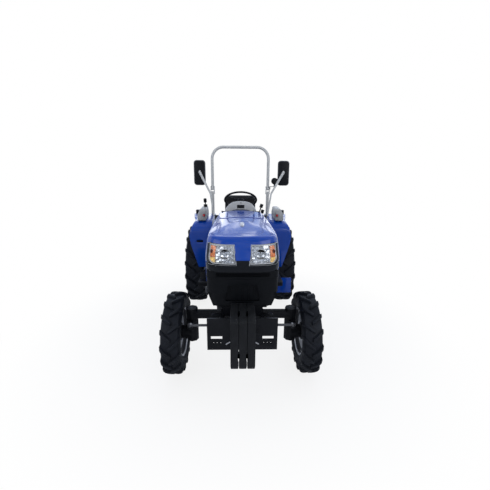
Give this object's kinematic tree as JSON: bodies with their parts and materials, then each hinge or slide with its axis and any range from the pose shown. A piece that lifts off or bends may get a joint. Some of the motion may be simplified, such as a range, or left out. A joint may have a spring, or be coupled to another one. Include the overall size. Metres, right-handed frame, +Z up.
{
  "type": "compact tractor",
  "caption": "Compact four-wheel-drive tractor with a sloping bonnet, bar-lug tyres, drop-gear front axle, folding roll hoop, front weights and a three-point hitch",
  "frame": {"origin": "on the ground, in the middle of the overall length and width", "axes": "+Z up, -Y the front of the tractor, +X the tractor's left"},
  "size_m": [1.404, 3, 2.1184],
  "materials": {
    "tyre_rubber": "matt black rubber",
    "silver_paint": "satin silver-grey paint",
    "dark_casting": "painted casting, dark grey",
    "bright_steel": "bare steel",
    "black_paint": "semi-gloss black paint",
    "weight_iron": "cast iron painted black",
    "engine_iron": "painted casting, dark grey",
    "black_plastic": "matt black moulded plastic",
    "dark_gloss_plastic": "gloss dark grey plastic",
    "lamp_reflector": "clear lens over a silver reflector",
    "amber_lens": "amber lens",
    "blue_paint": "glossy mid blue paint",
    "grey_plastic": "satin grey moulded plastic",
    "seat_vinyl": "black grained vinyl",
    "light_grey_paint": "satin light grey paint"
  },
  "bodies": {
    "chassis": {"front_axle": "dark_casting", "front_frame": "black_paint", "weight_bracket": "black_paint", "front_weights": "weight_iron", "engine": "engine_iron", "radiator_and_battery": "black_plastic", "transmission": "dark_casting", "rear_axle": "dark_casting", "hitch_mounts": "black_paint", "grille": "black_plastic", "side_screens": "black_paint", "dash": "grey_plastic", "firewall": "black_paint", "seat_cushion": "seat_vinyl", "seat_back": "seat_vinyl", "seat_base": "black_paint", "controls": "black_plastic", "fenders": "blue_paint", "footboards": "blue_paint", "consoles": "grey_plastic", "fixed_lamps": "black_plastic", "rops_posts": "light_grey_paint", "mirrors": "black_plastic"},
    "bonnet_set": {"bonnet": "blue_paint", "lamp_frames": "dark_gloss_plastic", "headlamps": "lamp_reflector", "indicators": "amber_lens"},
    "left_knuckle": {"knuckle_left": "dark_casting"},
    "right_knuckle": {"knuckle_right": "dark_casting"},
    "steering_tie_rod": {"tie_rod": "bright_steel"},
    "steering_hand_wheel": {"steering_wheel": "black_plastic"},
    "front_left_wheel": {"front_left_tyre": "tyre_rubber", "front_left_rim": "silver_paint"},
    "front_right_wheel": {"front_right_tyre": "tyre_rubber", "front_right_rim": "silver_paint"},
    "rear_left_wheel": {"rear_left_tyre": "tyre_rubber", "rear_left_rim": "silver_paint"},
    "rear_right_wheel": {"rear_right_tyre": "tyre_rubber", "rear_right_rim": "silver_paint"},
    "roll_hoop": {"rops_hoop": "light_grey_paint"},
    "rock_shaft": {"lift_arms": "black_paint"},
    "lift_rod_pair": {"lift_rods": "black_paint"},
    "lower_link_pair": {"lower_links": "black_paint"},
    "upper_link": {"top_link": "black_paint"},
    "take_off_shaft": {"pto_shaft": "bright_steel"}
  },
  "joints": [
    {"name": "steer_left", "type": "hinge", "parent": "chassis", "child": "left_knuckle", "pos_m": [0.45, -0.82, 0.45], "axis": [0, 0, 1], "range_deg": [-38, 38]},
    {"name": "steer_right", "type": "hinge", "parent": "chassis", "child": "right_knuckle", "pos_m": [-0.45, -0.82, 0.45], "axis": [0, 0, 1], "range_deg": [-38, 38]},
    {"name": "tie_rod_swing", "type": "hinge", "parent": "left_knuckle", "child": "steering_tie_rod", "pos_m": [0.45, -0.97, 0.5074], "axis": [0, 0, 1], "range_deg": [-38, 38]},
    {"name": "steering_wheel_turn", "type": "hinge", "parent": "chassis", "child": "steering_hand_wheel", "pos_m": [0, 0.307, 1.457], "axis": [0, 0.5736, 0.8192], "range_deg": [-540, 540]},
    {"name": "front_left_spin", "type": "hinge", "parent": "left_knuckle", "child": "front_left_wheel", "pos_m": [0.592, -0.82, 0.365], "axis": [1, 0, 0], "continuous": true},
    {"name": "front_right_spin", "type": "hinge", "parent": "right_knuckle", "child": "front_right_wheel", "pos_m": [-0.592, -0.82, 0.365], "axis": [1, 0, 0], "continuous": true},
    {"name": "rear_left_spin", "type": "hinge", "parent": "chassis", "child": "rear_left_wheel", "pos_m": [0.582, 0.78, 0.525], "axis": [1, 0, 0], "continuous": true},
    {"name": "rear_right_spin", "type": "hinge", "parent": "chassis", "child": "rear_right_wheel", "pos_m": [-0.582, 0.78, 0.525], "axis": [1, 0, 0], "continuous": true},
    {"name": "bonnet_lift", "type": "hinge", "parent": "chassis", "child": "bonnet_set", "pos_m": [0, 0.098, 1.344], "axis": [-1, 0, 0], "range_deg": [0, 50]},
    {"name": "rops_fold", "type": "hinge", "parent": "chassis", "child": "roll_hoop", "pos_m": [0, 0.827, 1.56], "axis": [-1, 0, 0], "range_deg": [0, 120]},
    {"name": "hitch_lift", "type": "hinge", "parent": "chassis", "child": "rock_shaft", "pos_m": [0, 0.76, 0.8], "axis": [1, 0, 0], "range_deg": [-10, 35]},
    {"name": "lower_link_swing", "type": "hinge", "parent": "chassis", "child": "lower_link_pair", "pos_m": [0, 0.862, 0.43], "axis": [1, 0, 0], "range_deg": [-10, 35]},
    {"name": "lift_rod_swing", "type": "hinge", "parent": "rock_shaft", "child": "lift_rod_pair", "pos_m": [0, 1.01, 0.785], "axis": [1, 0, 0], "range_deg": [-35, 10]},
    {"name": "top_link_swing", "type": "hinge", "parent": "chassis", "child": "upper_link", "pos_m": [0, 0.934, 0.72], "axis": [1, 0, 0], "range_deg": [-30, 60]},
    {"name": "power_take_off_spin", "type": "hinge", "parent": "chassis", "child": "take_off_shaft", "pos_m": [0, 0.905, 0.56], "axis": [0, 1, 0], "continuous": true}
  ],
  "couplings": [
    {"joint": "steer_right", "follows": "steer_left", "ratio": 1},
    {"joint": "tie_rod_swing", "follows": "steer_left", "ratio": -1},
    {"joint": "steering_wheel_turn", "follows": "steer_left", "ratio": 14},
    {"joint": "lower_link_swing", "follows": "hitch_lift", "ratio": 1},
    {"joint": "lift_rod_swing", "follows": "hitch_lift", "ratio": -1}
  ]
}
